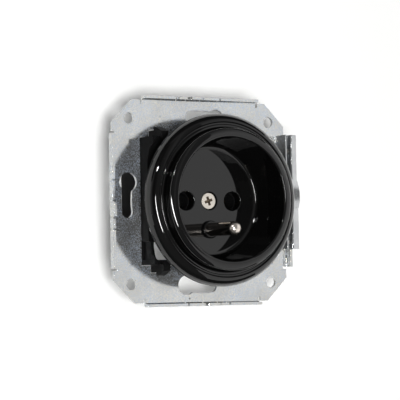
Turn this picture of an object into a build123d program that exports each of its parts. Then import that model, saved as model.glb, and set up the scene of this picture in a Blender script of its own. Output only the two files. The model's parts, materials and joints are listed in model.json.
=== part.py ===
from build123d import *
import math
import os

os.makedirs("parts", exist_ok=True)

# Flush wall socket insert for two plug pins and an earth pin, with a glazed ceramic cover.
# Millimetres. X is to the right, Z is up and the front faces -Y.
# The origin is the centre of the steel plate's back face, the face that lies on the wall.
# d is the distance in front of the wall, so d = -Y.

# Interface of the plug
pin_pitch = 19.0
plug_pin_r = 2.4
earth_drop = 10.0

# Well of the ceramic cover
seat_d = 3.0
floor_t = 3.5
well_r = 19.7
well_blend = 1.7
well_lean = 1.3
cup_wall = 2.3
cup_gap = 0.6
cup_foot_round = 1.4
pin_hole_r = 3.2
pin_hole_edge = 0.45
collar_wall = 0.7
collar_h = 1.2
collar_round = 0.6
pin_hole_gap = 0.05
screw_seat_r = 3.3
screw_clear = 0.2

# Stepped rim of the cover: reach out from the cup's outside, and rise from ring to ring
flange_rise = 5.5
flange_lean = 0.4
flange_round = 1.2
rim_reach = 8.0
rim_edge = 1.2
rim_edge_rise = 1.1
rim_edge_bulge = 0.236
rim_side = 0.3
roll_round = 4.6
roll_deg = 70.0
groove_drop = 0.5
groove_bulge = 0.3
bead_reach = 3.35
bead_w = 1.4
bead_bulge = 0.4
lip_wall_h = 3.3
lip_wall_lean = 0.15
lip_shoulder = 0.3
lip_shoulder_rise = 0.6
lip_shoulder_bulge = 0.1
lip_dome_w = 2.2
lip_dome_rise = 0.8
lip_dome_bulge = 0.2
lip_inside = 0.7
lip_inside_fall = 0.8
lip_inside_bulge = 0.2
lip_depth = 3.0

# Steel plate
plate_t = 1.0
key_land = 8.0
plate_edge = 5.3
plate_chamfer = 8.1
corner_hole_r = 1.95
corner_hole_inset = 6.65
key_slot_w = 4.2
key_head_r = 3.4
key_head_deg = 12.5
key_end_deg = 7.1

# Tabs of the plate: five pieces in a row, set out from the clockwise end; the third is a taller tongue
tab_length = 46.5
tab_step = 1.3
tab_height = 3.4
tab_bend_r = 0.5
tab_root = 0.4
tab_slit = 0.5
tab_marks = (16.1, 23.2, 29.1, 33.0)
tongue_extra = 1.0
tongue_corner = 0.7
nick_w = 0.8
nick_depth = 1.4

# Socket base: front frame with a dish for the cover, and its hold on the plate
base_side = 2.1
base_end = 0.1
base_gap = 0.3
base_behind = 3.0
base_face = 5.6
horn_rise = 3.8
dish_land = 5.2
dish_w = 3.8
dish_bulge = 0.78
hook_x = 17.4
hook_w = 2.8
hook_root = 2.1
hook_neck = 2.6
hook_catch = 1.1
hook_side = 1.2
hook_slope = 1.6
hook_d = 6.3
window_w = 5.7
window_shift = 0.65
window_over = 2.9
ear_w = 18.0
ear_over = 2.7
ear_t = 2.5
box_clear = 1.0
pocket_w = 12.2
pocket_h = 6.4
pocket_side = 2.0
pocket_end = 1.7
pocket_round = 0.8
side_recess = 0.7
side_recess_d = 6.0

# Rear body, its cover and its screws
rear_wall = 1.0
rear_edge = 3.7
rear_corner = 4.0
rear_rim = 1.1
rear_cover_t = 2.5
rear_cover_gap = 0.1
rear_screw_z = 9.3
rear_screw_r = 1.3
rear_screw_len = 7.0
rear_screw_play = 0.5
rear_head_r = 2.4
rear_head_t = 1.5
rear_head_taper = 15.0

# Contacts
contact_play = 0.1
contact_wall = 0.8
contact_slit = 0.9
contact_end = -15.0
ring_wall = 0.6
ring_slit = 1.2
ring_w = 4.0
ring_inset = 1.5
cavity_gap = 0.2
funnel_depth = 6.0
funnel_ledge = 0.25
funnel_play = 0.4
foot_t = 0.8
foot_w = 5.0
foot_over = 1.5
foot_gap = 0.25

# Terminals
terminal_wall = 0.4
terminal_w = 6.0
terminal_len = 8.0
terminal_top = -4.0
terminal_gap = 0.2
wire_r = 1.7
wire_gap = 0.4
wire_d = -10.0
clamp_screw_r = 1.75
clamp_screw_len = 6.0
clamp_head_r = 2.9
clamp_head_t = 1.8
clamp_head_d = -2.3
clamp_well_gap = 0.3

# Cover screw, bush and earth pin
screw_r = 1.5
screw_head_r = 2.8
screw_end = -5.0
screw_point = 0.6
bush_wall = 1.5
bush_end = -7.0
earth_rise = 0.1
earth_root_r = 2.0
earth_foot_r = 1.8
earth_foot_end = -6.0
earth_head_r = 2.8
earth_head_t = 1.2
earth_head_edge = 0.7
earth_head_gap = 0.2

# Earth strap, its terminal and its rivet
strap_t = 1.0
strap_w = 6.4
strap_gap = 0.25
tail_x = 3.0
tail_w = 5.0
tail_top = 12.1
tail_step_in = 1.5
tail_over = 4.8
tail_rivet_in = 2.0
earth_term_x = 11.5
earth_term_z = -16.0
earth_term_h = 10.0
earth_term_len = 7.0
earth_wire_d = -6.2
earth_screw_len = 5.5
earth_house_wall = 1.5
earth_house_floor = 2.0
earth_house_round = 1.2
rivet_r = 0.9
rivet_head_r = 1.5
rivet_head_t = 0.6
rivet_taper = 20.0

# Leaf spring on the right tab
leaf_t = 0.4
leaf_top = 24.0
leaf_bottom = -17.0
leaf_seat_gap = 0.2
leaf_foot = 3.0
leaf_foot_lean = 0.2
leaf_foot_h = 5.6
leaf_gap_top = 9.0
leaf_gap_bottom = -11.5
leaf_gap_edge = 0.6
leaf_over = 1.6
leaf_reach = 2.3
leaf_reach_low = 2.8
leaf_drop = 0.5
leaf_bend = 0.3
leaf_bump_top = 8.0
leaf_bump_bottom = -2.6
leaf_bump_reach = 2.9
leaf_bump_rise = 0.5
leaf_rivet_in = 1.6
leaf_rivet_r = 0.6
leaf_rivet_head_r = 0.85
leaf_rivet_zs = (18.5, -14.3)

# Radii and levels that follow from these
pin_x = pin_pitch / 2
cup_r = well_r + cup_wall
floor_front = seat_d + floor_t
rim_r = cup_r + rim_reach
flange_back = floor_front + flange_rise
rim_back = flange_back + flange_lean
roll_d = rim_back + rim_edge_rise + rim_side
roll_end_r = rim_r - roll_round + roll_round * math.cos(math.radians(roll_deg))
roll_end_d = roll_d + roll_round * math.sin(math.radians(roll_deg))
bead_out_r = cup_r + bead_reach + bead_w / 2
bead_in_r = bead_out_r - bead_w
bead_foot_d = roll_end_d - groove_drop
lip_wall_r = bead_in_r - lip_wall_lean
lip_wall_d = bead_foot_d + lip_wall_h
lip_dome_r = lip_wall_r - lip_shoulder
lip_dome_d = lip_wall_d + lip_shoulder_rise
lip_r = lip_dome_r - lip_dome_w
lip_front = lip_dome_d + lip_dome_rise
lip_inner_r = lip_r - lip_inside
lip_inner_d = lip_front - lip_inside_fall
earth_hole_r = plug_pin_r + pin_hole_gap
collar_r = earth_hole_r + collar_wall
collar_top = floor_front + collar_h
screw_hole_r = screw_r + screw_clear
screw_seat_d = floor_front - screw_seat_r + screw_hole_r
key_radius = cup_r + key_land
half = key_radius + plate_edge
corner_hole_at = half - corner_hole_inset
tab_out = half + tab_step
tab_in = tab_out - plate_t
tab_bend_out = tab_bend_r + plate_t
tongue_top = tab_height + tongue_extra
base_w = 2 * (cup_r + base_side)
base_h = 2 * (cup_r + base_end)
horn_top = base_face + horn_rise
dish_r = cup_r + dish_land
dish_rim_r = dish_r + dish_w
window_reach = base_h / 2 + window_over
contact_in_r = plug_pin_r + contact_play
contact_out_r = contact_in_r + contact_wall
ring_r = contact_out_r + ring_wall
cavity_r = ring_r + cavity_gap
cavity_top = seat_d - funnel_depth
ring_top = cavity_top - ring_inset
terminal_x = pin_x + cavity_r + terminal_wall + terminal_gap + terminal_w / 2
rear_inner = contact_end - foot_t
rear_d = rear_inner - rear_cover_t
rear_w = 2 * (terminal_x + terminal_w / 2 + rear_wall)
rear_h = 2 * (rear_screw_z + rear_edge)
bush_r = screw_r + bush_wall
wire_channel_r = wire_r + wire_gap
earth_ball_d = lip_front + earth_rise
tail_step_z = tail_step_in - base_h / 2
tail_end_z = -base_h / 2 - tail_over
tail_rivet_z = tail_end_z + tail_rivet_in
strap_len = math.hypot(earth_term_x, earth_term_z + earth_drop)
strap_deg = math.degrees(math.atan2(earth_term_z + earth_drop, earth_term_x))
strap_mid = (earth_term_x / 2, (earth_term_z - earth_drop) / 2)
leaf_wall_x = tab_in - leaf_seat_gap - leaf_t / 2
leaf_foot_x = tab_in - leaf_foot
leaf_rivet_x = tab_in - leaf_rivet_in
leaf_crest_d = tongue_top + leaf_over
leaf_bump_z = (leaf_bump_top + leaf_bump_bottom) / 2

# Working planes
WALL = Plane(origin=(0, 0, 0), x_dir=(1, 0, 0), z_dir=(0, -1, 0))
SECTION = Plane(origin=(0, 0, 0), x_dir=(1, 0, 0), z_dir=(0, 0, -1))
SIDE = Plane(origin=(0, 0, 0), x_dir=(0, 0, 1), z_dir=(1, 0, 0))
LEVEL = Plane(origin=(0, 0, 0), x_dir=(1, 0, 0), z_dir=(0, 0, 1))
AXIS = Axis((0, 0, 0), (0, -1, 0))
PIN_PLACES = [(-pin_x, 0), (pin_x, 0)]
TERMINAL_PLACES = [(-terminal_x, 0), (terminal_x, 0)]
EARTH_PLACE = (0, -earth_drop)
QUARTERS = (0, 90, 180, 270)

# Ends and top of each piece of a tab
tab_starts = (0.0,) + tuple(mark + tab_slit / 2 for mark in tab_marks)
tab_ends = tuple(mark - tab_slit / 2 for mark in tab_marks) + (tab_length,)
tab_tops = (tab_height, tab_height, tongue_top, tab_height, tab_height)
tongue_w = tab_ends[2] - tab_starts[2]

# Steel plate: one sheet with cut-outs, keyholes and four tabs bent forward
with BuildPart() as mounting_plate:
    with BuildSketch(WALL) as sheet:
        Rectangle(2 * half, 2 * half)
        chamfer(sheet.vertices(), plate_chamfer)
        Rectangle(base_w + 2 * base_gap, base_h + 2 * base_gap, mode=Mode.SUBTRACT)
        with GridLocations(2 * (hook_x + window_shift), 2 * window_reach - window_w, 2, 2):
            Rectangle(window_w, window_w, mode=Mode.SUBTRACT)
        with GridLocations(2 * corner_hole_at, 2 * corner_hole_at, 2, 2):
            Circle(corner_hole_r, mode=Mode.SUBTRACT)
        for turn in QUARTERS:
            slot = Edge.make_circle(key_radius, Plane.XY, turn - key_head_deg, turn + key_end_deg)
            SlotArc(slot, key_slot_w, mode=Mode.SUBTRACT)
            with PolarLocations(key_radius, 1, start_angle=turn - key_head_deg):
                Circle(key_head_r, mode=Mode.SUBTRACT)
            with PolarLocations(0, 1, start_angle=turn):
                with GridLocations(0, tab_length + nick_w, 1, 2):
                    with Locations((half - nick_depth / 2, 0)):
                        Rectangle(nick_depth, nick_w, mode=Mode.SUBTRACT)
        with Locations((tail_x, tail_rivet_z)):
            Circle(rivet_r, mode=Mode.SUBTRACT)
        with Locations(*[(leaf_rivet_x, z) for z in leaf_rivet_zs]):
            Circle(leaf_rivet_r, mode=Mode.SUBTRACT)
    extrude(amount=plate_t)
    for turn in QUARTERS:
        c = math.cos(math.radians(turn))
        s = math.sin(math.radians(turn))
        tab_plane = Plane(origin=(0, 0, 0), x_dir=(c, 0, s), z_dir=(s, 0, -c))
        bend = (tab_out - tab_bend_out, tab_bend_out)
        for start, end, top in zip(tab_starts, tab_ends, tab_tops):
            with BuildSketch(tab_plane.offset(tab_length / 2 - end)):
                with BuildLine():
                    Line((half - tab_root, 0), (bend[0], 0))
                    CenterArc(bend, tab_bend_out, -90, 90)
                    Polyline((tab_out, bend[1]), (tab_out, top), (tab_in, top), (tab_in, bend[1]))
                    CenterArc(bend, tab_bend_r, 0, -90)
                    Polyline((bend[0], plate_t), (half - tab_root, plate_t), (half - tab_root, 0))
                make_face()
            extrude(amount=end - start)
    tongue_edges = mounting_plate.edges().group_by(Axis.Y)[0]
    fillet(tongue_edges.filter_by(lambda edge: edge.length < tongue_w / 2), tongue_corner)
mounting_plate.part.label = "mounting_plate"
export_step(mounting_plate.part, "parts/mounting_plate.step")

# Leaf spring: folded strip that stands on the plate, climbs past the right tab and turns outward over it
leaf_fold = (
    (leaf_foot_x, plate_t + leaf_foot_h),
    (leaf_foot_x + leaf_foot_lean, plate_t + leaf_t / 2),
    (leaf_wall_x, plate_t + leaf_t / 2),
    (leaf_wall_x, leaf_crest_d),
)
leaf_lengths = (
    (leaf_top, leaf_bump_top, leaf_reach),
    (leaf_bump_bottom, leaf_bottom, leaf_reach_low),
)
leaf_bump_sections = (
    (leaf_bump_top, leaf_reach, -leaf_drop),
    (leaf_bump_z, leaf_bump_reach, leaf_bump_rise),
    (leaf_bump_bottom, leaf_reach_low, -leaf_drop),
)
with BuildPart() as frame_spring:
    for start, end, reach in leaf_lengths:
        with BuildSketch(SECTION.offset(-start)):
            with BuildLine():
                FilletPolyline(*leaf_fold, (leaf_wall_x + reach, leaf_crest_d - leaf_drop), radius=leaf_bend)
            trace(line_width=leaf_t)
        extrude(amount=start - end)
    with BuildSketch(SECTION.offset(-leaf_bump_top)):
        with BuildLine():
            FilletPolyline(*leaf_fold, radius=leaf_bend)
        trace(line_width=leaf_t)
    extrude(amount=leaf_bump_top - leaf_bump_bottom)
    # The outward part swells in the middle
    for level, reach, rise in leaf_bump_sections:
        with BuildSketch(SECTION.offset(-level)):
            with BuildLine():
                Line(
                    (leaf_wall_x - leaf_t / 4, leaf_crest_d),
                    (leaf_wall_x + reach, leaf_crest_d + rise),
                )
            trace(line_width=leaf_t)
    loft()
    with BuildSketch(WALL.offset(plate_t)):
        with Locations((leaf_foot_x - leaf_gap_edge, (leaf_gap_top + leaf_gap_bottom) / 2)):
            Rectangle(
                leaf_wall_x - leaf_t / 2 - leaf_foot_x + leaf_gap_edge,
                leaf_gap_top - leaf_gap_bottom,
                align=(Align.MIN, Align.CENTER),
            )
    extrude(amount=leaf_foot_h, mode=Mode.SUBTRACT)
    with BuildSketch(WALL.offset(plate_t)):
        with Locations(*[(leaf_rivet_x, z) for z in leaf_rivet_zs]):
            Circle(leaf_rivet_r)
    extrude(amount=leaf_t, mode=Mode.SUBTRACT)
frame_spring.part.label = "frame_spring"
export_step(frame_spring.part, "parts/frame_spring.step")

# Rivets of the leaf spring, flush with the back of the plate
for name, rivet_z in zip(("spring_rivet_upper", "spring_rivet_lower"), leaf_rivet_zs):
    with BuildPart() as rivet:
        with BuildSketch(WALL):
            with Locations((leaf_rivet_x, rivet_z)):
                Circle(leaf_rivet_r)
        extrude(amount=plate_t + leaf_t)
        with BuildSketch(WALL.offset(plate_t + leaf_t)):
            with Locations((leaf_rivet_x, rivet_z)):
                Circle(leaf_rivet_head_r)
        extrude(amount=rivet_head_t, taper=rivet_taper)
    rivet.part.label = name
    export_step(rivet.part, "parts/" + name + ".step")

# Ceramic cover: a turned cup with a stepped rim, then its holes
with BuildPart() as ceramic_cover:
    with BuildSketch(SECTION):
        with BuildLine():
            Polyline((0, floor_front), (0, seat_d), (cup_r - cup_foot_round, seat_d))
            RadiusArc((cup_r - cup_foot_round, seat_d), (cup_r, seat_d + cup_foot_round), -cup_foot_round)
            Line((cup_r, seat_d + cup_foot_round), (cup_r, flange_back - flange_round))
            RadiusArc((cup_r, flange_back - flange_round), (cup_r + flange_round, flange_back), flange_round)
            Line((cup_r + flange_round, flange_back), (rim_r - rim_edge, rim_back))
            SagittaArc((rim_r - rim_edge, rim_back), (rim_r, rim_back + rim_edge_rise), -rim_edge_bulge)
            Line((rim_r, rim_back + rim_edge_rise), (rim_r, roll_d))
            CenterArc((rim_r - roll_round, roll_d), roll_round, 0, roll_deg)
            SagittaArc((roll_end_r, roll_end_d), (bead_out_r, bead_foot_d), groove_bulge)
            SagittaArc((bead_out_r, bead_foot_d), (bead_in_r, bead_foot_d), -bead_bulge)
            Line((bead_in_r, bead_foot_d), (lip_wall_r, lip_wall_d))
            SagittaArc((lip_wall_r, lip_wall_d), (lip_dome_r, lip_dome_d), -lip_shoulder_bulge)
            SagittaArc((lip_dome_r, lip_dome_d), (lip_r, lip_front), -lip_dome_bulge)
            SagittaArc((lip_r, lip_front), (lip_inner_r, lip_inner_d), -lip_inside_bulge)
            Line((lip_inner_r, lip_inner_d), (well_r + well_lean, lip_inner_d - lip_depth))
            Line((well_r + well_lean, lip_inner_d - lip_depth), (well_r, floor_front + well_blend))
            RadiusArc((well_r, floor_front + well_blend), (well_r - well_blend, floor_front), well_blend)
            Line((well_r - well_blend, floor_front), (0, floor_front))
        make_face()
    revolve(axis=AXIS)
    with BuildSketch(WALL.offset(floor_front)):
        with Locations(EARTH_PLACE):
            Circle(collar_r)
    extrude(amount=collar_h)
    rings = ceramic_cover.edges().filter_by(GeomType.CIRCLE)
    fillet(rings.sort_by_distance(Vertex(0, -collar_top, -earth_drop))[0], collar_round)
    with BuildSketch(WALL.offset(seat_d)):
        with Locations(*PIN_PLACES):
            Circle(pin_hole_r)
        with Locations(EARTH_PLACE):
            Circle(earth_hole_r)
        Circle(screw_hole_r)
    extrude(amount=floor_t + collar_h, mode=Mode.SUBTRACT)
    with BuildSketch(SECTION):
        with BuildLine():
            Polyline(
                (0, floor_front),
                (screw_seat_r, floor_front),
                (screw_hole_r, screw_seat_d),
                (0, screw_seat_d),
                close=True,
            )
        make_face()
    revolve(axis=AXIS, mode=Mode.SUBTRACT)
    for side in (-1, 1):
        rings = ceramic_cover.edges().filter_by(GeomType.CIRCLE)
        fillet(rings.sort_by_distance(Vertex(side * pin_x, -floor_front, 0))[0], pin_hole_edge)
ceramic_cover.part.label = "ceramic_cover"
export_step(ceramic_cover.part, "parts/ceramic_cover.step")

# Cover screw: countersunk, its head a little below the floor of the well
head_top = floor_front - (screw_seat_r - screw_head_r)
with BuildPart() as cover_screw:
    with BuildSketch(SECTION):
        with BuildLine():
            Polyline(
                (0, head_top),
                (screw_head_r, head_top),
                (screw_hole_r, head_top - screw_head_r + screw_hole_r),
                (screw_r, head_top - screw_head_r + screw_r),
                (screw_r, screw_end + screw_point),
                (screw_r - screw_point, screw_end),
                (0, screw_end),
                close=True,
            )
        make_face()
    revolve(axis=AXIS)
cover_screw.part.label = "cover_screw"
export_step(cover_screw.part, "parts/cover_screw.step")

# Threaded bush in the middle of the base
with BuildPart() as screw_bush:
    with BuildSketch(WALL.offset(bush_end)):
        Circle(bush_r)
        Circle(screw_r, mode=Mode.SUBTRACT)
    extrude(amount=seat_d - bush_end)
screw_bush.part.label = "screw_bush"
export_step(screw_bush.part, "parts/screw_bush.step")

# Socket base: moulded block through the plate, dished for the cover, hollow for contacts and terminals
with BuildPart() as socket_base:
    # Front frame, dished between its four corner horns
    with BuildSketch(WALL):
        Rectangle(base_w, base_h)
    extrude(amount=horn_top)
    with BuildSketch(SECTION):
        with BuildLine():
            Polyline((0, horn_top), (0, base_face), (dish_r, base_face))
            SagittaArc((dish_r, base_face), (dish_rim_r, horn_top), -dish_bulge)
            Line((dish_rim_r, horn_top), (0, horn_top))
        make_face()
    revolve(axis=AXIS, mode=Mode.SUBTRACT)
    # Part that lies in the wall box, with two ears behind the plate
    with BuildSketch(WALL.offset(-base_behind)):
        Rectangle(base_w, base_h)
        Circle(key_radius - box_clear, mode=Mode.INTERSECT)
    extrude(amount=base_behind)
    with BuildSketch(WALL.offset(-ear_t)):
        Rectangle(ear_w, base_h + 2 * ear_over)
    extrude(amount=ear_t)
    # Snap hooks in front of the plate
    for side in (-1, 1):
        for level in (-1, 1):
            root = level * (base_h / 2 - hook_root)
            neck = level * (base_h / 2 + hook_neck)
            catch = level * (base_h / 2 + hook_neck + hook_catch)
            with BuildSketch(SIDE.offset(side * hook_x - hook_w / 2)):
                with BuildLine():
                    Polyline(
                        (root, -ear_t),
                        (neck, -ear_t),
                        (neck, plate_t),
                        (catch, plate_t),
                        (catch, plate_t + hook_side),
                        (catch - level * hook_slope, hook_d),
                        (root, hook_d),
                        close=True,
                    )
                make_face()
            extrude(amount=hook_w)
    # Rear body and the housing of the earth terminal
    with BuildSketch(WALL.offset(rear_d)):
        RectangleRounded(rear_w, rear_h, rear_corner)
    extrude(amount=-base_behind - rear_d)
    with BuildSketch(WALL.offset(-earth_term_h - earth_house_floor)):
        with Locations((earth_term_x, earth_term_z)):
            RectangleRounded(
                terminal_w + 2 * (terminal_gap + earth_house_wall),
                earth_term_len + 2 * (terminal_gap + earth_house_wall),
                earth_house_round,
            )
    extrude(amount=earth_term_h + earth_house_floor - base_behind)
    # Seat of the cup and of the rear cover
    with BuildSketch(WALL.offset(seat_d)):
        Circle(cup_r + cup_gap)
    extrude(amount=horn_top - seat_d, mode=Mode.SUBTRACT)
    with BuildSketch(WALL.offset(rear_d)):
        RectangleRounded(
            rear_w - 2 * (rear_rim - rear_cover_gap),
            rear_h - 2 * (rear_rim - rear_cover_gap),
            rear_corner - rear_rim,
        )
    extrude(amount=rear_cover_t, mode=Mode.SUBTRACT)
    # Cavities of the contacts, each with a funnel that leads the plug's pin in
    with BuildSketch(WALL.offset(rear_inner)):
        with Locations(*PIN_PLACES):
            Circle(cavity_r)
    extrude(amount=cavity_top - rear_inner, mode=Mode.SUBTRACT)
    for side in (-1, 1):
        with BuildSketch(SECTION):
            with BuildLine():
                Polyline(
                    (side * pin_x, cavity_top),
                    (side * pin_x + contact_in_r + funnel_play, cavity_top),
                    (side * pin_x + pin_hole_r - funnel_ledge, seat_d),
                    (side * pin_x, seat_d),
                    close=True,
                )
            make_face()
        revolve(axis=Axis((side * pin_x, 0, 0), (0, -1, 0)), mode=Mode.SUBTRACT)
    # Chambers of the terminals, slots for the contacts' feet, wells of the clamp screws, wire channels
    with BuildSketch(WALL.offset(rear_inner)):
        with Locations(*TERMINAL_PLACES):
            Rectangle(terminal_w + 2 * terminal_gap, terminal_len + 2 * terminal_gap)
    extrude(amount=terminal_top - rear_inner, mode=Mode.SUBTRACT)
    with BuildSketch(WALL.offset(rear_inner)):
        with GridLocations(pin_x + terminal_x, 0, 2, 1):
            Rectangle(terminal_x - pin_x, foot_w + 2 * foot_gap)
    extrude(amount=foot_t + foot_gap, mode=Mode.SUBTRACT)
    with BuildSketch(WALL.offset(terminal_top)):
        with Locations(*TERMINAL_PLACES):
            Circle(clamp_head_r + clamp_well_gap)
    extrude(amount=seat_d - terminal_top, mode=Mode.SUBTRACT)
    with BuildSketch(LEVEL.offset(-rear_h / 2)):
        with GridLocations(2 * terminal_x, 0, 2, 1):
            with Locations((0, -wire_d)):
                Circle(wire_channel_r)
    extrude(amount=(rear_h - terminal_len) / 2, mode=Mode.SUBTRACT)
    with BuildSketch(WALL.offset(rear_inner)):
        with GridLocations(2 * terminal_x, 0, 2, 1):
            with Locations((0, rear_screw_z)):
                Circle(rear_screw_r)
    extrude(amount=rear_screw_len, mode=Mode.SUBTRACT)
    # Seat of the bush, bed of the earth strap, chamber of the earth terminal, tail of the earth pin
    with BuildSketch(WALL.offset(bush_end)):
        Circle(bush_r)
    extrude(amount=seat_d - bush_end, mode=Mode.SUBTRACT)
    with BuildSketch(WALL):
        with Locations(strap_mid):
            SlotCenterToCenter(strap_len, strap_w + 2 * strap_gap, rotation=strap_deg)
        with Locations((tail_x, -tail_top)):
            Rectangle(
                tail_w + 2 * strap_gap,
                base_h / 2 - tail_top + strap_gap,
                align=(Align.CENTER, Align.MAX),
            )
    extrude(amount=seat_d, mode=Mode.SUBTRACT)
    with BuildSketch(WALL.offset(-earth_term_h)):
        with Locations((earth_term_x, earth_term_z)):
            Rectangle(terminal_w + 2 * terminal_gap, earth_term_len + 2 * terminal_gap)
    extrude(amount=earth_term_h, mode=Mode.SUBTRACT)
    with BuildSketch(LEVEL.offset(earth_term_z)):
        with Locations((earth_term_x, -earth_wire_d)):
            Circle(wire_channel_r)
    extrude(amount=-earth_term_len / 2 - terminal_gap - earth_house_wall, mode=Mode.SUBTRACT)
    with BuildSketch(WALL.offset(earth_foot_end)):
        with Locations(EARTH_PLACE):
            Circle(earth_foot_r)
    extrude(amount=-earth_foot_end, mode=Mode.SUBTRACT)
    with BuildSketch(WALL.offset(rear_inner)):
        with Locations(EARTH_PLACE):
            Circle(earth_head_r + earth_head_gap)
    extrude(amount=earth_foot_end - rear_inner, mode=Mode.SUBTRACT)
    # Open pocket at the lower left, and the shallow recess beside it in the left wall
    pocket_mid_z = pocket_end + pocket_h / 2 - base_h / 2
    with BuildSketch(WALL.offset(-base_behind)):
        with Locations((pocket_side + pocket_w / 2 - base_w / 2, pocket_mid_z)):
            RectangleRounded(pocket_w, pocket_h, pocket_round)
    extrude(amount=base_behind + horn_top, mode=Mode.SUBTRACT)
    with BuildSketch(WALL.offset(plate_t)):
        with Locations((-base_w / 2, pocket_mid_z)):
            Rectangle(2 * side_recess, pocket_h)
    extrude(amount=side_recess_d, mode=Mode.SUBTRACT)
socket_base.part.label = "socket_base"
export_step(socket_base.part, "parts/socket_base.step")

# Rear cover of the base, let into its back and held by two screws
with BuildPart() as rear_cover:
    with BuildSketch(WALL.offset(rear_d)):
        RectangleRounded(rear_w - 2 * rear_rim, rear_h - 2 * rear_rim, rear_corner - rear_rim)
        with GridLocations(2 * terminal_x, 0, 2, 1):
            with Locations((0, rear_screw_z)):
                Circle(rear_screw_r, mode=Mode.SUBTRACT)
    extrude(amount=rear_cover_t)
rear_cover.part.label = "rear_cover"
export_step(rear_cover.part, "parts/rear_cover.step")

# The pieces that come once on each side: live on the left, neutral on the right
for name, side in (("live", -1), ("neutral", 1)):
    with BuildPart() as contact:
        with BuildSketch(WALL.offset(contact_end)):
            with Locations((side * pin_x, 0)):
                Circle(contact_out_r)
                Circle(contact_in_r, mode=Mode.SUBTRACT)
            with Locations((side * (pin_x - contact_out_r), 0)):
                Rectangle(3 * contact_wall, contact_slit, mode=Mode.SUBTRACT)
        extrude(amount=cavity_top - contact_end)
        with BuildSketch(WALL.offset(rear_inner)):
            with Locations((side * pin_x, 0)):
                Circle(contact_out_r)
            with Locations((side * (pin_x + terminal_x) / 2, 0)):
                Rectangle(terminal_x - pin_x + 2 * foot_over, foot_w)
        extrude(amount=foot_t)
    contact.part.label = name + "_contact"
    export_step(contact.part, "parts/" + name + "_contact.step")

    with BuildPart() as ring:
        with BuildSketch(WALL.offset(ring_top - ring_w)):
            with Locations((side * pin_x, 0)):
                Circle(ring_r)
                Circle(contact_out_r, mode=Mode.SUBTRACT)
            with Locations((side * (pin_x + contact_out_r), 0)):
                Rectangle(4 * ring_wall, ring_slit, mode=Mode.SUBTRACT)
        extrude(amount=ring_w)
    ring.part.label = name + "_contact_spring"
    export_step(ring.part, "parts/" + name + "_contact_spring.step")

    with BuildPart() as terminal:
        with BuildSketch(WALL.offset(contact_end)):
            with Locations((side * terminal_x, 0)):
                Rectangle(terminal_w, terminal_len)
        extrude(amount=terminal_top - contact_end)
        with BuildSketch(WALL.offset(wire_d)):
            with Locations((side * terminal_x, 0)):
                Circle(clamp_screw_r)
        extrude(amount=terminal_top - wire_d, mode=Mode.SUBTRACT)
        with BuildSketch(LEVEL):
            with Locations((side * terminal_x, -wire_d)):
                Circle(wire_r)
        extrude(amount=terminal_len / 2, both=True, mode=Mode.SUBTRACT)
    terminal.part.label = name + "_terminal"
    export_step(terminal.part, "parts/" + name + "_terminal.step")

    with BuildPart() as clamp_screw:
        with BuildSketch(WALL.offset(clamp_head_d - clamp_screw_len)):
            with Locations((side * terminal_x, 0)):
                Circle(clamp_screw_r)
        extrude(amount=clamp_screw_len)
        with BuildSketch(WALL.offset(clamp_head_d)):
            with Locations((side * terminal_x, 0)):
                Circle(clamp_head_r)
        extrude(amount=clamp_head_t)
    clamp_screw.part.label = name + "_terminal_screw"
    export_step(clamp_screw.part, "parts/" + name + "_terminal_screw.step")

    with BuildPart() as rear_screw:
        with BuildSketch(WALL.offset(rear_d)):
            with Locations((side * terminal_x, rear_screw_z)):
                Circle(rear_screw_r)
        extrude(amount=rear_cover_t + rear_screw_len - rear_screw_play)
        with BuildSketch(WALL.offset(rear_d)):
            with Locations((side * terminal_x, rear_screw_z)):
                Circle(rear_head_r)
        extrude(amount=-rear_head_t, taper=rear_head_taper)
    rear_screw.part.label = name + "_rear_screw"
    export_step(rear_screw.part, "parts/" + name + "_rear_screw.step")

# Earth pin: shoulder on the strap, tail riveted behind the base, round tip
with BuildPart() as earth_pin:
    with BuildSketch(SECTION.offset(earth_drop)):
        with BuildLine():
            Polyline(
                (0, earth_ball_d + plug_pin_r),
                (0, earth_foot_end - earth_head_t),
                (earth_head_r - earth_head_edge, earth_foot_end - earth_head_t),
                (earth_head_r, earth_foot_end - earth_head_t + earth_head_edge),
                (earth_head_r, earth_foot_end),
                (earth_foot_r, earth_foot_end),
                (earth_foot_r, strap_t),
                (earth_root_r, strap_t),
                (earth_root_r, collar_top + pin_hole_gap),
                (plug_pin_r, collar_top + pin_hole_gap),
                (plug_pin_r, earth_ball_d),
            )
            CenterArc((0, earth_ball_d), plug_pin_r, 0, 90)
        make_face()
    revolve(axis=Axis((0, 0, -earth_drop), (0, -1, 0)))
earth_pin.part.label = "earth_pin"
export_step(earth_pin.part, "parts/earth_pin.step")

# Earth strap: joins the earth pin, the earth terminal and the plate
with BuildPart() as earth_strap:
    with BuildSketch(WALL):
        with Locations(strap_mid):
            SlotCenterToCenter(strap_len, strap_w, rotation=strap_deg)
        with Locations((tail_x, -tail_top)):
            Rectangle(tail_w, base_h / 2 - tail_top, align=(Align.CENTER, Align.MAX))
        with Locations(EARTH_PLACE):
            Circle(earth_foot_r, mode=Mode.SUBTRACT)
        with Locations((earth_term_x, earth_term_z)):
            Circle(clamp_screw_r, mode=Mode.SUBTRACT)
    extrude(amount=strap_t)
    with BuildSketch(WALL.offset(strap_t)):
        with Locations((tail_x, tail_step_z)):
            Rectangle(tail_w, tail_step_z - tail_end_z, align=(Align.CENTER, Align.MAX))
        with Locations((tail_x, tail_rivet_z)):
            Circle(rivet_r, mode=Mode.SUBTRACT)
    extrude(amount=plate_t)
earth_strap.part.label = "earth_strap"
export_step(earth_strap.part, "parts/earth_strap.step")

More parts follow.
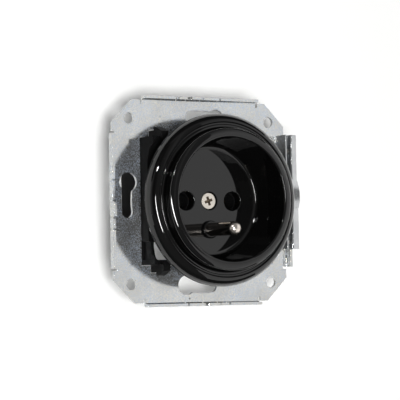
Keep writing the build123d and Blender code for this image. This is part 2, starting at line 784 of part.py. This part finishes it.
# Rivet that bonds the strap to the plate
with BuildPart() as bond_rivet:
    with BuildSketch(WALL):
        with Locations((tail_x, tail_rivet_z)):
            Circle(rivet_r)
    extrude(amount=plate_t + strap_t)
    with BuildSketch(WALL.offset(plate_t + strap_t)):
        with Locations((tail_x, tail_rivet_z)):
            Circle(rivet_head_r)
    extrude(amount=rivet_head_t, taper=rivet_taper)
bond_rivet.part.label = "bond_rivet"
export_step(bond_rivet.part, "parts/bond_rivet.step")

# Earth terminal under the strap, with its own screw
with BuildPart() as earth_terminal:
    with BuildSketch(WALL.offset(-earth_term_h)):
        with Locations((earth_term_x, earth_term_z)):
            Rectangle(terminal_w, earth_term_len)
    extrude(amount=earth_term_h)
    with BuildSketch(WALL.offset(earth_wire_d)):
        with Locations((earth_term_x, earth_term_z)):
            Circle(clamp_screw_r)
    extrude(amount=-earth_wire_d, mode=Mode.SUBTRACT)
    with BuildSketch(LEVEL.offset(earth_term_z)):
        with Locations((earth_term_x, -earth_wire_d)):
            Circle(wire_r)
    extrude(amount=earth_term_len / 2, both=True, mode=Mode.SUBTRACT)
earth_terminal.part.label = "earth_terminal"
export_step(earth_terminal.part, "parts/earth_terminal.step")

with BuildPart() as earth_terminal_screw:
    with BuildSketch(WALL.offset(strap_t - earth_screw_len)):
        with Locations((earth_term_x, earth_term_z)):
            Circle(clamp_screw_r)
    extrude(amount=earth_screw_len)
    with BuildSketch(WALL.offset(strap_t)):
        with Locations((earth_term_x, earth_term_z)):
            Circle(clamp_head_r)
    extrude(amount=clamp_head_t)
earth_terminal_screw.part.label = "earth_terminal_screw"
export_step(earth_terminal_screw.part, "parts/earth_terminal_screw.step")
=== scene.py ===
import json
import math

import bmesh
import bpy
from mathutils import Matrix, Vector


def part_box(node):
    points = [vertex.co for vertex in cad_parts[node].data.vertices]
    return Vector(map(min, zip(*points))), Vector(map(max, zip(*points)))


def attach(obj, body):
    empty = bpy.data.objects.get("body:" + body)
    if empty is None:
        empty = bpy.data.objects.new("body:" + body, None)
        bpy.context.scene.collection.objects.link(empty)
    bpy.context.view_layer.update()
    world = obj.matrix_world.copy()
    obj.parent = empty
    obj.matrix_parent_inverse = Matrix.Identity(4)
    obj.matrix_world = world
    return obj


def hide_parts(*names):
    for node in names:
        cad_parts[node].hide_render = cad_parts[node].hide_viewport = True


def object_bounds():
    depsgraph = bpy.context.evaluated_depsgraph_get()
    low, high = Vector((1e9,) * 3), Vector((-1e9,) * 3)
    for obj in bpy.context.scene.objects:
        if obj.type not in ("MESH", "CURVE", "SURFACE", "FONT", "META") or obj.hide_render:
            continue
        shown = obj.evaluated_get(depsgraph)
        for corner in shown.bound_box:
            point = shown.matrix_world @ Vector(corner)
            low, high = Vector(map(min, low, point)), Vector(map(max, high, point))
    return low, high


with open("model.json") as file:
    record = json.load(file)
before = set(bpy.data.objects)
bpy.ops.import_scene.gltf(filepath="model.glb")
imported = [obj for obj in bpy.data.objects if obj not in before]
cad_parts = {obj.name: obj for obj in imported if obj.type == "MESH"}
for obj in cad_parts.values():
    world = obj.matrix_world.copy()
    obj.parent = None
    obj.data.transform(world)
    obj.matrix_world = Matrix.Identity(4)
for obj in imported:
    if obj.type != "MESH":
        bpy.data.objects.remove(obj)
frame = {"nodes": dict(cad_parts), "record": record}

CAD_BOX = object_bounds()
NODES = frame["nodes"]
MM = 0.001

# Camera, fitted to the photograph: place, view direction and sideways direction
CAMERA_AT = Vector((-0.359297, -0.592022, -0.028979))
CAMERA_FORWARD = Vector((0.518509, 0.854006, 0.042696))
CAMERA_RIGHT = Vector((0.855045, -0.518244, -0.017923))
CAMERA_LENS = 177.08
CAMERA_SENSOR = 36.0
CAMERA_CLIP = 0.01

# Stage: white wall close behind the part and a pale floor below it
WALL_GAP = 0.6 * MM
STAGE_SIZE = 3.0
FLOOR_DROP = 0.32
WALL_WHITE = (0.93, 0.93, 0.92, 1)
FLOOR_WHITE = (0.90, 0.90, 0.895, 1)
WALL_GLOW, FLOOR_GLOW = 0.07, 0.45
PAINT_SHADE, PAINT_ROUGH = 0.985, 0.9

# Lamps; bearings are degrees to the left of straight in front of the part, distances in metres.
# The key and the rear lamp light the part and are not mirrored; the strip and the spot are only seen in
# reflections. The strip leans: its upper end lies further to the left. The rear lamp is behind the wall,
# which lets it through from that side, and lights only the part's back.
WORLD_SOFT = 0.30
LAMPS = {
    "rear": dict(bearing=205, rise=35, distance=1.5, width=0.6, height=0.6, bright=16, mirrored=False),
    "key": dict(bearing=23, rise=-7, distance=1.5, width=0.38, height=0.38, bright=44, mirrored=False),
    "strip": dict(
        bearing=34, rise=-11, distance=0.9, width=0.055, height=0.6, bright=44, lean=0.52, lights=False,
    ),
    "spot": dict(bearing=58, rise=31, distance=0.9, width=0.035, height=0.07, bright=200, lights=False),
}

# Screens round the front left that only reflections show, from grey over dark to pale again:
# first bearing, last bearing, brightness
SCREEN_RADIUS, SCREEN_HEIGHT, SCREEN_STEPS = 1.5, 5.0, 5
SCREENS = [
    (-23, 3, 0.18), (3, 18, 0.32), (18, 38, 0.16), (38, 48, 0.10), (48, 66, 0.04), (66, 74, 0.13),
    (74, 82, 0.35), (82, 90, 0.75),
]

# Level sheets above and below the part, for reflections too: left, right, front, back, height, brightness
SHEETS = {
    "upper_sheet": (-0.45, 0.25, -0.06, 0.02, 0.16, 0.04),
    "lower_sheet": (-0.45, 0.25, -0.08, 0.02, -0.20, 0.08),
    "floor_sheet": (-1.40, 0.08, -1.40, -0.08, -0.345, 0.16),
}

# Reflections show the world darker overhead: slopes where that starts and ends, brightness there
OVERHEAD_START, OVERHEAD_END, OVERHEAD_BRIGHT = 0.45, 0.97, 0.12

# Patterns in the materials, in features per metre
METAL_CLOUDS, METAL_PATCHES, METAL_GLOSS = 160, 38, 420
CRYSTALS, CRYSTAL_DRIFT = 5200, 75
DIRT_DOTS, DIRT_PATCHES = 210, 45
GLAZE_SPECKS, GLAZE_PATCHES, GLAZE_CLOUDS, GLAZE_GLOSS, GLAZE_WAVES = 330, 60, 90, 260, 130
DUST_DOTS, DUST_PATCHES = 700, 110
MOULDING_CLOUDS, MOULDING_GRAIN = 140, 2600
PAINT_CLOUDS = 6

# Most of a noise lies between the first two values; the other two make patches with harder edges
NOISE_LOW, NOISE_HIGH = 0.3, 0.7
PATCH_LOW, PATCH_HIGH = 0.35, 0.65

# Shares of clouds, patches and grain in a metal's tone, and the tones that run from its dark to its light
CLOUD_SHARE, PATCH_SHARE, GRAIN_SHARE = 0.6, 0.5, 0.4
TONE_RANGE = (0.2, 1.3)

# Frosty crystals: cell values that show, greatest strength, and how that drifts over the surface
CRYSTAL_RANGE, CRYSTAL_MOST, DRIFT_RANGE = (0.2, 0.95), 0.62, (0.7, 1.15)

# Colours of the materials, other than those of the single metals
FROST_BLUE = (0.36, 0.52, 0.78, 1)
DIRT_BROWN = (0.10, 0.09, 0.08, 1)
GLAZE_DARK, GLAZE_LIGHT = (0.0015, 0.0015, 0.0016, 1), (0.0032, 0.0031, 0.0031, 1)
MOULDING_DARK, MOULDING_LIGHT = (0.004, 0.004, 0.0042, 1), (0.010, 0.010, 0.0103, 1)
SPECK_GREY, DUST_GREY = (0.12, 0.12, 0.115, 1), (0.10, 0.10, 0.097, 1)
BLACK, WHITE = (0, 0, 0, 1), (1, 1, 1, 1)

# Gloss and relief of the glaze and the moulding
GLAZE_ROUGH, GLAZE_IOR, GLAZE_WAVE_DEPTH = (0.02, 0.05), 1.5, 0.01 * MM
MOULDING_ROUGH, MOULDING_SPECULAR = (0.30, 0.42), 0.02
MOULDING_GRAIN_DEPTH, MOULDING_EDGE = 0.010 * MM, 0.15 * MM

# Samples for the rounding of sharp edges in all materials but the glaze
EDGE_SAMPLES = 6

# Dots of dirt and dust are full inside this share of their radius and fade out from there
DOT_CORE = 0.4

# The earth pin's round tip is duller than its shaft
TIP_LENGTH, TIP_BLEND, TIP_ROUGH = 2.4 * MM, 0.3 * MM, 0.25

# Screw drives; turns are in degrees. SLOT_REACH is a slot's length in head widths: it runs past the head
CROSS_ARM, CROSS_W, CROSS_DEPTH, CROSS_TURN = 1.6 * MM, 0.95 * MM, 1.3 * MM, -18
CROSS_TAPER = 0.6
SLOT_W, SLOT_DEPTH, SLOT_REACH, SLOT_TAPER = 0.6 * MM, 0.7 * MM, 3, 1.0
SLOT_TURNS = {"live": 35, "neutral": 102}
FRONT, BACK = 0, 1


def direction(bearing, rise):
    """Unit vector from the part towards a bearing and a rise, both in degrees."""
    turn, lift = math.radians(bearing), math.radians(rise)
    return Vector((-math.sin(turn) * math.cos(lift), -math.cos(turn) * math.cos(lift), math.sin(lift)))


def new_material(name):
    """Material with its nodes, its links and its shader."""
    mat = bpy.data.materials.new(name)
    mat.use_nodes = True
    return mat, mat.node_tree.nodes, mat.node_tree.links, mat.node_tree.nodes["Principled BSDF"]


def coords(nodes, links, stretch=(1, 1, 1)):
    """Object coordinates in metres, stretched where a grain runs one way."""
    source = nodes.new("ShaderNodeTexCoord")
    mapping = nodes.new("ShaderNodeMapping")
    mapping.inputs["Scale"].default_value = stretch
    links.new(source.outputs["Object"], mapping.inputs["Vector"])
    return mapping.outputs["Vector"]


def axis_of(nodes, links, system, axis):
    """One axis of a system of coordinates."""
    source = nodes.new("ShaderNodeTexCoord")
    split = nodes.new("ShaderNodeSeparateXYZ")
    links.new(source.outputs[system], split.inputs["Vector"])
    return split.outputs[axis]


def noise(nodes, links, vector, scale, detail=3.0, rough=0.55):
    """Soft random clouds between 0 and 1."""
    tex = nodes.new("ShaderNodeTexNoise")
    tex.inputs["Scale"].default_value = scale
    tex.inputs["Detail"].default_value = detail
    tex.inputs["Roughness"].default_value = rough
    links.new(vector, tex.inputs["Vector"])
    return tex.outputs["Fac"]


def cells(nodes, links, vector, scale, output):
    """Small cells: the Distance from their centres, or a random Color for each."""
    tex = nodes.new("ShaderNodeTexVoronoi")
    tex.inputs["Scale"].default_value = scale
    links.new(vector, tex.inputs["Vector"])
    return tex.outputs[output]


def spread(nodes, links, value, low, high, to_low, to_high):
    """Maps low..high to to_low..to_high, clamped."""
    node = nodes.new("ShaderNodeMapRange")
    for key, number in zip(("From Min", "From Max", "To Min", "To Max"), (low, high, to_low, to_high)):
        node.inputs[key].default_value = number
    links.new(value, node.inputs["Value"])
    return node.outputs["Result"]


def math_node(nodes, links, operation, *values):
    """Result of one calculation on numbers or sockets."""
    node = nodes.new("ShaderNodeMath")
    node.operation = operation
    for socket, value in zip(node.inputs, values):
        if isinstance(value, (int, float)):
            socket.default_value = value
        else:
            links.new(value, socket)
    return node.outputs["Value"]


def patchy_dots(nodes, links, vector, scale, patch_scale, size, patch_range, strength, detail=2):
    """Small scattered dots, 0 to strength, that show only in some patches."""
    distance = cells(nodes, links, vector, scale, "Distance")
    dots = spread(nodes, links, distance, size, size * DOT_CORE, 0, 1)
    patches = noise(nodes, links, vector, patch_scale, detail)
    patches = spread(nodes, links, patches, *patch_range, 0, strength)
    return math_node(nodes, links, "MULTIPLY", dots, patches)


def mix(nodes, links, factor, a, b):
    """Colour between a and b; a and b are colours or sockets."""
    node = nodes.new("ShaderNodeMix")
    node.data_type = "RGBA"
    links.new(factor, node.inputs["Factor"])
    for key, value in (("A", a), ("B", b)):
        socket = [s for s in node.inputs if s.name == key and s.type == "RGBA"][0]
        if isinstance(value, tuple):
            socket.default_value = value
        else:
            links.new(value, socket)
    return [s for s in node.outputs if s.type == "RGBA"][0]


def bump(nodes, links, height, depth, normal=None):
    """Normal with a fine relief of the given depth."""
    node = nodes.new("ShaderNodeBump")
    node.inputs["Strength"].default_value = 1.0
    node.inputs["Distance"].default_value = depth
    links.new(height, node.inputs["Height"])
    if normal is not None:
        links.new(normal, node.inputs["Normal"])
    return node.outputs["Normal"]


def soft_edge(nodes, radius):
    """Normal that rounds sharp edges a little, so that they catch the light."""
    node = nodes.new("ShaderNodeBevel")
    node.samples = EDGE_SAMPLES
    node.inputs["Radius"].default_value = radius
    return node.outputs["Normal"]


def seen_ray(nodes, links):
    """1 for what the eye, a reflection or a clear material sees, 0 for light that falls on things."""
    path = nodes.new("ShaderNodeLightPath")
    seen = math_node(nodes, links, "MAXIMUM", path.outputs["Is Camera Ray"], path.outputs["Is Glossy Ray"])
    return math_node(nodes, links, "MAXIMUM", seen, path.outputs["Is Transmission Ray"])


def metal(name, dark, light, rough, grain, metallic=1.0, stretch=(1, 1, 1), edge=0.12 * MM,
          depth=0.004 * MM, dirt=0.0, frost=0.0):
    """Plated or rolled metal: cloudy colour, uneven gloss, fine grain, frosty crystals and some dirt."""
    mat, nodes, links, bsdf = new_material(name)
    bsdf.inputs["Metallic"].default_value = metallic
    plain = coords(nodes, links)
    along = coords(nodes, links, stretch)
    cloud = noise(nodes, links, plain, METAL_CLOUDS, detail=6, rough=0.65)
    cloud = spread(nodes, links, cloud, NOISE_LOW, NOISE_HIGH, 0, CLOUD_SHARE)
    patch = noise(nodes, links, plain, METAL_PATCHES, detail=2)
    patch = spread(nodes, links, patch, PATCH_LOW, PATCH_HIGH, 0, PATCH_SHARE)
    fine = noise(nodes, links, along, grain, detail=4, rough=0.7)
    tone = math_node(nodes, links, "ADD", cloud, patch)
    tone = math_node(nodes, links, "MULTIPLY_ADD", fine, GRAIN_SHARE, tone)
    colour = mix(nodes, links, spread(nodes, links, tone, *TONE_RANGE, 0, 1), dark, light)
    if frost:
        crystals = cells(nodes, links, plain, CRYSTALS, "Color")
        crystals = spread(nodes, links, crystals, *CRYSTAL_RANGE, 0, CRYSTAL_MOST)
        drift = noise(nodes, links, plain, CRYSTAL_DRIFT)
        drift = spread(nodes, links, drift, PATCH_LOW, PATCH_HIGH, *DRIFT_RANGE)
        crystals = math_node(nodes, links, "MULTIPLY", crystals, drift)
        matt = math_node(nodes, links, "MULTIPLY_ADD", crystals, -frost, metallic)
        links.new(matt, bsdf.inputs["Metallic"])
        colour = mix(nodes, links, crystals, colour, FROST_BLUE)
    if dirt:
        dots = patchy_dots(
            nodes, links, plain, DIRT_DOTS, DIRT_PATCHES, size=0.10, patch_range=(0.5, 0.6), strength=dirt,
        )
        colour = mix(nodes, links, dots, colour, DIRT_BROWN)
    links.new(colour, bsdf.inputs["Base Color"])
    gloss = noise(nodes, links, plain, METAL_GLOSS, detail=5, rough=0.6)
    links.new(spread(nodes, links, gloss, NOISE_LOW, NOISE_HIGH, *rough), bsdf.inputs["Roughness"])
    links.new(bump(nodes, links, fine, depth, soft_edge(nodes, edge)), bsdf.inputs["Normal"])
    return mat


def dull_tip(mat, start, end, rough):
    """Makes a metal duller from start to end along Y."""
    nodes, links = mat.node_tree.nodes, mat.node_tree.links
    socket = nodes["Principled BSDF"].inputs["Roughness"]
    dull = spread(nodes, links, axis_of(nodes, links, "Object", "Y"), start, end, 0, rough)
    links.new(math_node(nodes, links, "MAXIMUM", socket.links[0].from_socket, dull), socket)


def glaze():
    """High gloss black glaze: faint waviness, slightly uneven gloss and a few dust specks."""
    mat, nodes, links, bsdf = new_material("black_glaze")
    plain = coords(nodes, links)
    specks = patchy_dots(
        nodes, links, plain, GLAZE_SPECKS, GLAZE_PATCHES, size=0.05, patch_range=(0.52, 0.62), strength=0.35,
    )
    body = mix(nodes, links, noise(nodes, links, plain, GLAZE_CLOUDS, detail=4), GLAZE_DARK, GLAZE_LIGHT)
    links.new(mix(nodes, links, specks, body, SPECK_GREY), bsdf.inputs["Base Color"])
    gloss = noise(nodes, links, plain, GLAZE_GLOSS)
    links.new(spread(nodes, links, gloss, NOISE_LOW, NOISE_HIGH, *GLAZE_ROUGH), bsdf.inputs["Roughness"])
    bsdf.inputs["IOR"].default_value = GLAZE_IOR
    waves = noise(nodes, links, plain, GLAZE_WAVES, detail=1, rough=0.4)
    links.new(bump(nodes, links, waves, GLAZE_WAVE_DEPTH), bsdf.inputs["Normal"])
    return mat


def moulding():
    """Semi-matte black moulding: fine grain, cloudy gloss and dusty pale specks."""
    mat, nodes, links, bsdf = new_material("black_moulding")
    plain = coords(nodes, links)
    cloud = noise(nodes, links, plain, MOULDING_CLOUDS, detail=5)
    body = mix(nodes, links, cloud, MOULDING_DARK, MOULDING_LIGHT)
    dust = patchy_dots(
        nodes, links, plain, DUST_DOTS, DUST_PATCHES, size=0.10, patch_range=(0.5, 0.65), strength=0.2,
        detail=3,
    )
    links.new(mix(nodes, links, dust, body, DUST_GREY), bsdf.inputs["Base Color"])
    links.new(spread(nodes, links, cloud, NOISE_LOW, NOISE_HIGH, *MOULDING_ROUGH), bsdf.inputs["Roughness"])
    bsdf.inputs["Specular IOR Level"].default_value = MOULDING_SPECULAR
    grain = noise(nodes, links, plain, MOULDING_GRAIN, rough=0.6)
    edge = soft_edge(nodes, MOULDING_EDGE)
    links.new(bump(nodes, links, grain, MOULDING_GRAIN_DEPTH, edge), bsdf.inputs["Normal"])
    return mat


def stage_material(name, colour, shine):
    """Matt pale paint with a faint glow, seen only from its front, so that it never hides the part."""
    mat, nodes, links, bsdf = new_material(name)
    tone = noise(nodes, links, coords(nodes, links), PAINT_CLOUDS)
    shade = tuple(c * PAINT_SHADE for c in colour[:3]) + (1,)
    links.new(mix(nodes, links, tone, shade, colour), bsdf.inputs["Base Color"])
    bsdf.inputs["Roughness"].default_value = PAINT_ROUGH
    bsdf.inputs["Specular IOR Level"].default_value = 0.0
    bsdf.inputs["Emission Color"].default_value = colour
    glow = math_node(nodes, links, "MULTIPLY", seen_ray(nodes, links), shine)
    links.new(glow, bsdf.inputs["Emission Strength"])
    clear = nodes.new("ShaderNodeBsdfTransparent")
    facing = nodes.new("ShaderNodeNewGeometry")
    choose = nodes.new("ShaderNodeMixShader")
    links.new(facing.outputs["Backfacing"], choose.inputs["Fac"])
    links.new(bsdf.outputs["BSDF"], choose.inputs[1])
    links.new(clear.outputs["BSDF"], choose.inputs[2])
    links.new(choose.outputs["Shader"], nodes["Material Output"].inputs["Surface"])
    return mat


MATERIALS = {
    "zinc_plate": metal(
        "zinc_plate", dark=(0.53, 0.505, 0.445, 1), light=(0.715, 0.675, 0.58, 1), rough=(0.09, 0.16),
        grain=2300, metallic=0.96, edge=0.08 * MM, depth=0.004 * MM, dirt=0.8, frost=0.6,
    ),
    "spring_steel": metal(
        "spring_steel", dark=(0.42, 0.43, 0.44, 1), light=(0.65, 0.66, 0.665, 1), rough=(0.12, 0.22),
        grain=900, metallic=0.96, stretch=(6, 6, 0.4), edge=0.1 * MM, depth=0.006 * MM, dirt=0.4,
    ),
    "screw_steel": metal(
        "screw_steel", dark=(0.68, 0.62, 0.54, 1), light=(0.85, 0.79, 0.71, 1), rough=(0.24, 0.38),
        grain=3000, metallic=0.8, edge=0.1 * MM, depth=0.006 * MM, dirt=0.3,
    ),
    "nickel": metal(
        "nickel", dark=(0.73, 0.665, 0.60, 1), light=(0.84, 0.775, 0.71, 1), rough=(0.08, 0.13),
        grain=1500, depth=0.0008 * MM,
    ),
    "brass": metal(
        "brass", dark=(0.45, 0.31, 0.12, 1), light=(0.66, 0.48, 0.22, 1), rough=(0.2, 0.34),
        grain=1200, stretch=(1, 4, 1), depth=0.005 * MM, dirt=0.4,
    ),
    "black_glaze": glaze(),
    "black_moulding": moulding(),
}
tip_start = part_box("earth_pin")[0].y + TIP_LENGTH
dull_tip(MATERIALS["nickel"], tip_start, tip_start - TIP_BLEND, TIP_ROUGH)
# Dark brown metal for the cut faces of the screw drives: painted shade in the recesses, with some brown dirt
RECESS_SHADE_AND_DIRT = metal(
    "screw_recess_shade_and_dirt", dark=(0.07, 0.05, 0.035, 1), light=(0.22, 0.17, 0.12, 1), rough=(0.4, 0.6),
    grain=3000, metallic=0.6,
)

for part in frame["record"]["subparts"]:
    skin = NODES[part["node"]].data.materials
    skin.clear()
    skin.append(MATERIALS[part["material_slot"]])


def cutter(name, width, length, depth, taper, at, turn):
    """Box that cuts into a screw head, of the given size at the face and narrower further in."""
    mesh = bpy.data.meshes.new(name)
    shape = bmesh.new()
    for vert in bmesh.ops.create_cube(shape, size=1.0)["verts"]:
        scale = taper if vert.co.y > 0 else 2 - taper
        vert.co = Vector((vert.co.x * width * scale, vert.co.y * 2 * depth, vert.co.z * length * scale))
    shape.to_mesh(mesh)
    shape.free()
    # The cut faces take the dark brown metal, which paints shade into the recess
    mesh.materials.append(RECESS_SHADE_AND_DIRT)
    obj = bpy.data.objects.new(name, mesh)
    obj.matrix_world = Matrix.Translation(at) @ Matrix.Rotation(math.radians(turn), 4, "Y")
    bpy.context.scene.collection.objects.link(obj)
    return obj


def cut_screw(node, cuts, turn, face):
    """Copy of a screw with its drive cut in; face is FRONT or BACK, where its head is."""
    low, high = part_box(node)
    at = (low + high) / 2
    at.y = (low.y, high.y)[face]
    screw = bpy.data.objects.new(node + "_cut", NODES[node].data.copy())
    bpy.context.scene.collection.objects.link(screw)
    for number, cut in enumerate(cuts):
        tool = cutter(node + "_tool_%d" % number, *cut, at, turn + 90 * number)
        modifier = screw.modifiers.new("drive", "BOOLEAN")
        modifier.object = tool
        modifier.solver = "EXACT"
        # TRANSFER gives the cut faces the cutter's dark brown metal: painted shade in the drive
        modifier.material_mode = "TRANSFER"
        bpy.context.view_layer.update()
        shaped = bpy.data.meshes.new_from_object(screw.evaluated_get(bpy.context.evaluated_depsgraph_get()))
        screw.modifiers.clear()
        screw.data = shaped
        bpy.data.objects.remove(tool)
    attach(screw, "root")
    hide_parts(node)


cut_screw("cover_screw", [(CROSS_W, 2 * CROSS_ARM, CROSS_DEPTH, CROSS_TAPER)] * 2, CROSS_TURN, FRONT)
for side, turn in SLOT_TURNS.items():
    low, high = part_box(side + "_rear_screw")
    slot = (SLOT_W, SLOT_REACH * (high.x - low.x), SLOT_DEPTH, SLOT_TAPER)
    cut_screw(side + "_rear_screw", [slot], turn, BACK)


def stage_plane(name, corners, material):
    """Plane of the stage that lets lamps through and adds no light of its own."""
    mesh = bpy.data.meshes.new(name)
    mesh.from_pydata(corners, [], [(0, 1, 2, 3)])
    mesh.materials.append(material)
    obj = bpy.data.objects.new(name, mesh)
    bpy.context.scene.collection.objects.link(obj)
    obj.visible_shadow = False
    obj.visible_diffuse = False


half = STAGE_SIZE / 2
wall_y = CAD_BOX[1][1] + WALL_GAP
front_y = wall_y - STAGE_SIZE
floor_z = CAD_BOX[0][2] - FLOOR_DROP
stage_plane(
    "wall",
    [(-half, wall_y, -half), (half, wall_y, -half), (half, wall_y, half), (-half, wall_y, half)],
    stage_material("wall_paint", WALL_WHITE, WALL_GLOW),
)
stage_plane(
    "floor",
    [(-half, front_y, floor_z), (half, front_y, floor_z), (half, wall_y, floor_z), (-half, wall_y, floor_z)],
    stage_material("floor_paint", FLOOR_WHITE, FLOOR_GLOW),
)


def lamp(name, bearing, rise, distance, width, height, bright, lean=0.0, mirrored=True, lights=True):
    """Flat lamp that faces the part; lean shifts its upper end to the left."""
    data = bpy.data.lights.new(name, "AREA")
    data.shape = "ELLIPSE"
    data.size = width
    data.size_y = height
    data.energy = bright * math.pi * width * height
    obj = bpy.data.objects.new(name, data)
    away = direction(bearing, rise)
    tall = (direction(bearing, rise + 90) + lean * direction(bearing + 90, 0)).normalized()
    turned = Matrix((tall.cross(away), tall, away)).transposed().to_4x4()
    obj.matrix_world = Matrix.Translation(away * distance) @ turned
    obj.visible_camera = False
    obj.visible_glossy = mirrored
    obj.visible_diffuse = lights
    bpy.context.scene.collection.objects.link(obj)


for name, values in LAMPS.items():
    lamp(name, **values)


def cloth(name, points, faces, bright):
    """Sheet of cloth that only reflections show."""
    mesh = bpy.data.meshes.new(name)
    mesh.from_pydata(points, [], faces)
    mat, _, _, bsdf = new_material(name + "_cloth")
    bsdf.inputs["Base Color"].default_value = BLACK
    bsdf.inputs["Specular IOR Level"].default_value = 0.0
    bsdf.inputs["Emission Color"].default_value = WHITE
    bsdf.inputs["Emission Strength"].default_value = bright
    mesh.materials.append(mat)
    obj = bpy.data.objects.new(name, mesh)
    bpy.context.scene.collection.objects.link(obj)
    obj.visible_camera = False
    obj.visible_diffuse = False
    obj.visible_shadow = False
    obj.visible_transmission = False


def screen(name, first, last, bright):
    """Upright cloth on part of a circle round the object."""
    points = []
    for step in range(SCREEN_STEPS + 1):
        away = direction(first + (last - first) * step / SCREEN_STEPS, 0) * SCREEN_RADIUS
        points += [(away.x, away.y, -SCREEN_HEIGHT / 2), (away.x, away.y, SCREEN_HEIGHT / 2)]
    faces = [(2 * i, 2 * i + 1, 2 * i + 3, 2 * i + 2) for i in range(SCREEN_STEPS)]
    cloth(name, points, faces, bright)


def level_sheet(name, left, right, front, back, height, bright):
    """Flat cloth at one height."""
    points = [(left, front, height), (right, front, height), (right, back, height), (left, back, height)]
    cloth(name, points, [(0, 1, 2, 3)], bright)


for number, (first, last, bright) in enumerate(SCREENS):
    screen("screen_%d" % number, first, last, bright)
for name, values in SHEETS.items():
    level_sheet(name, *values)

# World: white to the eye and in level reflections, softer as light
world = bpy.data.worlds.new("studio")
bpy.context.scene.world = world
world.use_nodes = True
nodes, links = world.node_tree.nodes, world.node_tree.links
path = nodes.new("ShaderNodeLightPath")
slope = axis_of(nodes, links, "Generated", "Z")
loss = spread(nodes, links, slope, OVERHEAD_START, OVERHEAD_END, 0, OVERHEAD_BRIGHT - 1)
shade = math_node(nodes, links, "MULTIPLY_ADD", path.outputs["Is Glossy Ray"], loss, 1.0)
level = spread(nodes, links, seen_ray(nodes, links), 0, 1, WORLD_SOFT, 1.0)
level = math_node(nodes, links, "MULTIPLY", level, shade)
links.new(level, nodes["Background"].inputs["Strength"])
nodes["Background"].inputs["Color"].default_value = WHITE

# Camera
camera_data = bpy.data.cameras.new("camera")
camera_data.lens = CAMERA_LENS
camera_data.sensor_width = CAMERA_SENSOR
camera_data.clip_start = CAMERA_CLIP
camera = bpy.data.objects.new("camera", camera_data)
forward = CAMERA_FORWARD.normalized()
right = (CAMERA_RIGHT - forward * CAMERA_RIGHT.dot(forward)).normalized()
up = right.cross(forward)
camera.matrix_world = Matrix.Translation(CAMERA_AT) @ Matrix((right, up, -forward)).transposed().to_4x4()
bpy.context.scene.collection.objects.link(camera)
bpy.context.scene.camera = camera
bpy.context.scene.view_settings.view_transform = "Standard"
